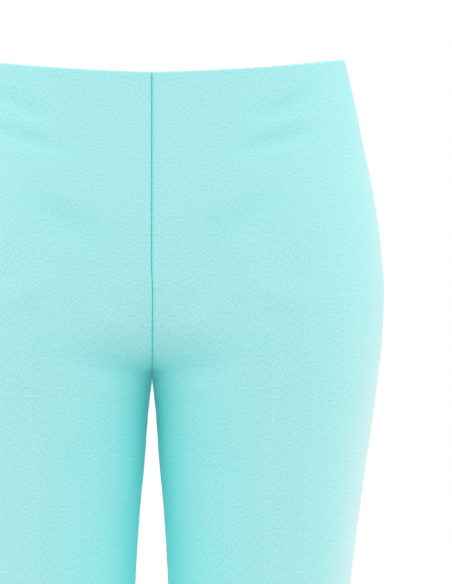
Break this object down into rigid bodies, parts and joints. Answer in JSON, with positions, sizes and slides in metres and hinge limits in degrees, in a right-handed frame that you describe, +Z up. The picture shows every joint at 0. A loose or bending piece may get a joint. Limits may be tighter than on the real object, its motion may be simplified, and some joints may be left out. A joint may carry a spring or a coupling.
{
  "type": "palazzo pants",
  "caption": "High plain-fronted trousers, hollow as worn, with pressed creases, close hips and thighs, legs that widen to the hem and a concealed back zip.",
  "frame": {"origin": "middle of the waist opening, level with the tops of the side seams", "axes": "+X to the wearer's left, -Y to the front, +Z up out of the waist opening"},
  "size_m": [0.38, 0.2486, 1.0458],
  "materials": {
    "cloth": "aqua double-weave stretch suiting, matt, fine weave",
    "zip": "aqua enamel, satin"
  },
  "bodies": {
    "garment": {"front_left": "cloth", "front_right": "cloth", "back_left": "cloth", "back_right": "cloth", "zip_slider": "zip"},
    "zip_pull": {"zip_pull": "zip"}
  },
  "joints": [
    {"name": "pull_turn", "type": "hinge", "parent": "garment", "child": "zip_pull", "pos_m": [0, 0.10413, -0.01258], "axis": [1, 0, 0], "range_deg": [0, 150]}
  ]
}
